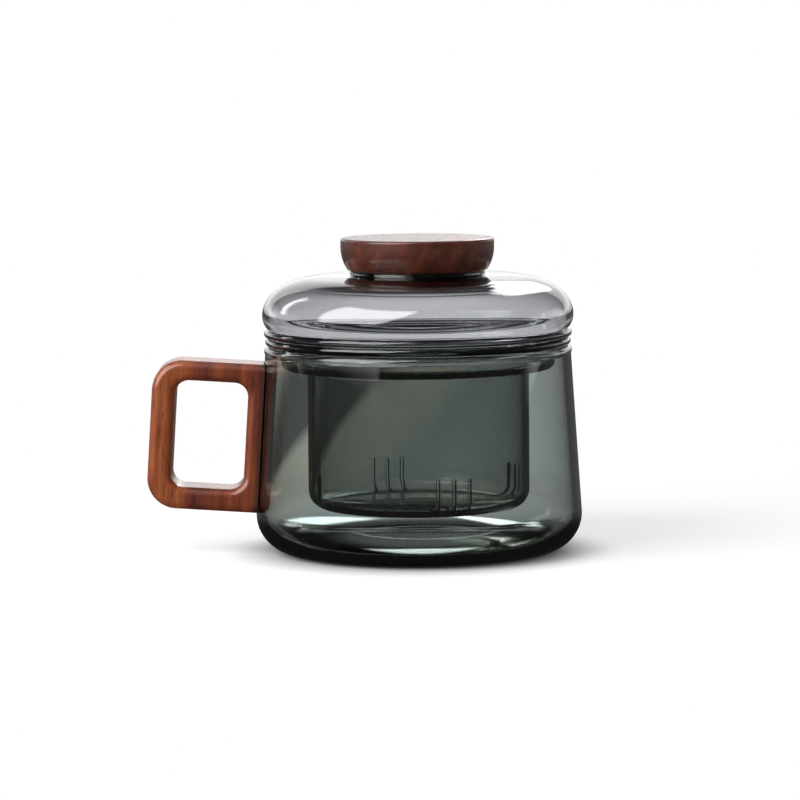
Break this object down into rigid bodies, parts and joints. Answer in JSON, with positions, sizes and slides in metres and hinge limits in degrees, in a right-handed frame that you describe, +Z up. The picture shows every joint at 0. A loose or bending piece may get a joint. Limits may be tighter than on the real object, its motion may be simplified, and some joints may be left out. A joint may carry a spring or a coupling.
{
  "type": "lidded tea mug with infuser",
  "caption": "Tapered smoky glass tea mug with a wooden loop handle, a hanging glass infuser with slit groups and a loose domed glass lid with a wooden knob.",
  "frame": {"origin": "on the mug's axis in the plane that its foot ring stands on", "axes": "+Z up along the mug's axis, -X towards the handle, -Y towards the front view"},
  "size_m": [0.1302, 0.0978, 0.0941],
  "materials": {
    "mug_glass": "smoky grey-green blown borosilicate glass, fire-polished",
    "infuser_glass": "smoky grey-green blown glass, saw-cut slits",
    "lid_glass": "light grey blown glass, fire-polished",
    "handle_wood": "oiled walnut, satin, edges rounded",
    "knob_wood": "turned walnut, lacquered",
    "adhesive": "cured clear-brown adhesive film"
  },
  "bodies": {
    "mug": {"mug_body": "mug_glass", "handle_peg_upper": "mug_glass", "handle_peg_lower": "mug_glass", "handle": "handle_wood", "handle_adhesive": "adhesive"},
    "infuser": {"infuser": "infuser_glass"},
    "lid": {"lid_dome": "lid_glass", "lid_boss": "lid_glass", "lid_knob": "knob_wood", "knob_adhesive": "adhesive"}
  },
  "joints": [
    {"name": "infuser_lift", "type": "slide", "parent": "mug", "child": "infuser", "axis": [0, 0, 1], "range_m": [0, 0.06]},
    {"name": "lid_lift", "type": "slide", "parent": "infuser", "child": "lid", "axis": [0, 0, 1], "range_m": [0, 0.03]}
  ]
}
